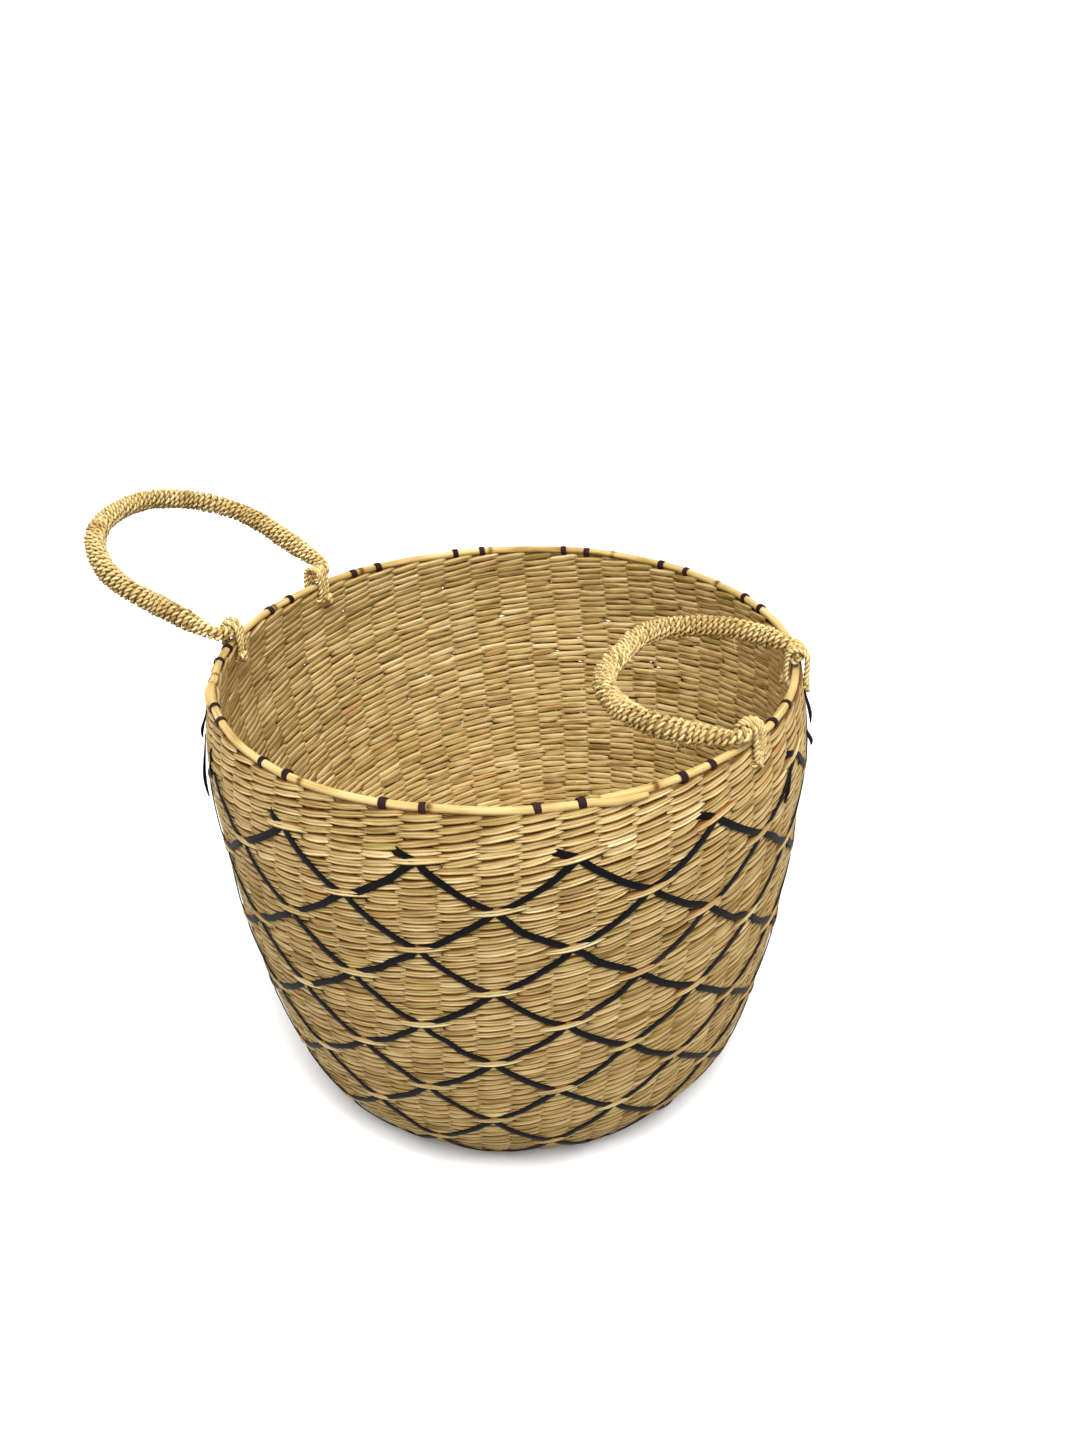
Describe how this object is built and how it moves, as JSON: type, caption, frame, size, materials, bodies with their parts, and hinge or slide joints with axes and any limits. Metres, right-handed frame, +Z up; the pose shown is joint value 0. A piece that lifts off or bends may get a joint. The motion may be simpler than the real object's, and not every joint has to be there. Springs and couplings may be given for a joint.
{
  "type": "seagrass storage basket",
  "caption": "Round open-topped belly basket of twined seagrass with a black strip lattice, a reed rim and a pair of swinging rope loop handles.",
  "frame": {"origin": "centre of the base on the surface that the basket stands on", "axes": "+Z up along the basket's axis; the handles are on the X axis"},
  "size_m": [0.5089, 0.3964, 0.3725],
  "materials": {
    "seagrass_weave": "matte twined seagrass stalks with a faint natural sheen",
    "stake_cane": "split cane, hidden in the weave",
    "rim_reed": "smooth pale round stem",
    "black_strip": "dyed flat strip, satin",
    "rope_wrap": "tightly wound fine twisted cord",
    "rope_core": "bundle of stalks",
    "lashing_cord": "fine twisted cord"
  },
  "bodies": {
    "basket": {"woven_wall": "seagrass_weave", "woven_base": "seagrass_weave", "warp_stakes": "stake_cane", "rim_reed_long": "rim_reed", "rim_reed_short": "rim_reed", "strip_right_01": "black_strip", "strip_right_02": "black_strip", "strip_right_03": "black_strip", "strip_right_04": "black_strip", "strip_right_05": "black_strip", "strip_right_06": "black_strip", "strip_right_07": "black_strip", "strip_right_08": "black_strip", "strip_right_09": "black_strip", "strip_right_10": "black_strip", "strip_right_11": "black_strip", "strip_right_12": "black_strip", "strip_right_13": "black_strip", "strip_right_14": "black_strip", "strip_left_01": "black_strip", "strip_left_02": "black_strip", "strip_left_03": "black_strip", "strip_left_04": "black_strip", "strip_left_05": "black_strip", "strip_left_06": "black_strip", "strip_left_07": "black_strip", "strip_left_08": "black_strip", "strip_left_09": "black_strip", "strip_left_10": "black_strip", "strip_left_11": "black_strip", "strip_left_12": "black_strip", "strip_left_13": "black_strip", "strip_left_14": "black_strip", "left_lashing_front": "lashing_cord", "left_lashing_back": "lashing_cord", "right_lashing_front": "lashing_cord", "right_lashing_back": "lashing_cord"},
    "left_handle": {"left_handle_core": "rope_core", "left_handle_wrap": "rope_wrap", "left_handle_bindings": "lashing_cord"},
    "right_handle": {"right_handle_core": "rope_core", "right_handle_wrap": "rope_wrap", "right_handle_bindings": "lashing_cord"}
  },
  "joints": [
    {"name": "left_handle_swing", "type": "hinge", "parent": "basket", "child": "left_handle", "pos_m": [-0.17858, 0, 0.3129], "axis": [0, 1, 0], "range_deg": [-30, 165]},
    {"name": "right_handle_swing", "type": "hinge", "parent": "basket", "child": "right_handle", "pos_m": [0.17858, 0, 0.3129], "axis": [0, 1, 0], "range_deg": [-11, 184]}
  ]
}
